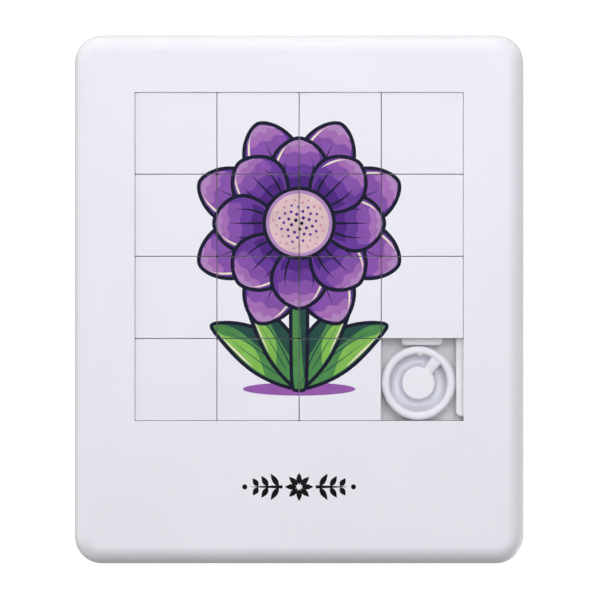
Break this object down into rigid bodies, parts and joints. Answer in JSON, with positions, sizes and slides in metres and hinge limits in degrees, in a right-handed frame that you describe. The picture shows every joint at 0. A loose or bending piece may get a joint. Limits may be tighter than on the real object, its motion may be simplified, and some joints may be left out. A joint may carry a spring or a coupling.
{
  "type": "sliding tile puzzle",
  "caption": "Flat rectangular sliding tile puzzle: square tongued tiles held in a moulded frame, with a round lock plug in the free cell and a press-on back.",
  "frame": {"origin": "centre of the underside", "axes": "+Z out of the face, +Y along the length towards the end that the tile field is nearer, +X to the right when the face is looked at"},
  "size_m": [0.068, 0.08, 0.0075],
  "materials": {
    "frame_plastic": "fine satin moulded surface, cool white",
    "cover_plastic": "matt moulded surface, cool white",
    "tile_plastic": "smooth satin surface with printed picture, cool white",
    "plug_plastic": "smooth as-moulded surface, cool white"
  },
  "bodies": {
    "frame": {"front_frame": "frame_plastic", "back_cover": "cover_plastic", "tile_01": "tile_plastic", "tile_02": "tile_plastic", "tile_03": "tile_plastic", "tile_04": "tile_plastic", "tile_05": "tile_plastic", "tile_06": "tile_plastic", "tile_07": "tile_plastic", "tile_08": "tile_plastic", "tile_09": "tile_plastic", "tile_10": "tile_plastic", "tile_11": "tile_plastic", "tile_12": "tile_plastic"},
    "tile_13": {"tile_13": "tile_plastic"},
    "tile_14": {"tile_14": "tile_plastic"},
    "tile_15": {"tile_15": "tile_plastic"},
    "lock_plug": {"lock_plug": "plug_plastic"}
  },
  "joints": [
    {"name": "tile_15_slide", "type": "slide", "parent": "frame", "child": "tile_15", "axis": [1, 0, 0], "range_m": [0, 0.0124]},
    {"name": "tile_14_slide", "type": "slide", "parent": "frame", "child": "tile_14", "axis": [1, 0, 0], "range_m": [0, 0.0124]},
    {"name": "tile_13_slide", "type": "slide", "parent": "frame", "child": "tile_13", "axis": [1, 0, 0], "range_m": [0, 0.0124]},
    {"name": "plug_lift", "type": "slide", "parent": "frame", "child": "lock_plug", "axis": [0, 0, 1], "range_m": [0, 0.062]}
  ],
  "couplings": [
    {"joint": "tile_14_slide", "follows": "tile_15_slide", "ratio": 1},
    {"joint": "tile_13_slide", "follows": "tile_15_slide", "ratio": 1},
    {"joint": "plug_lift", "follows": "tile_15_slide", "ratio": 5}
  ]
}
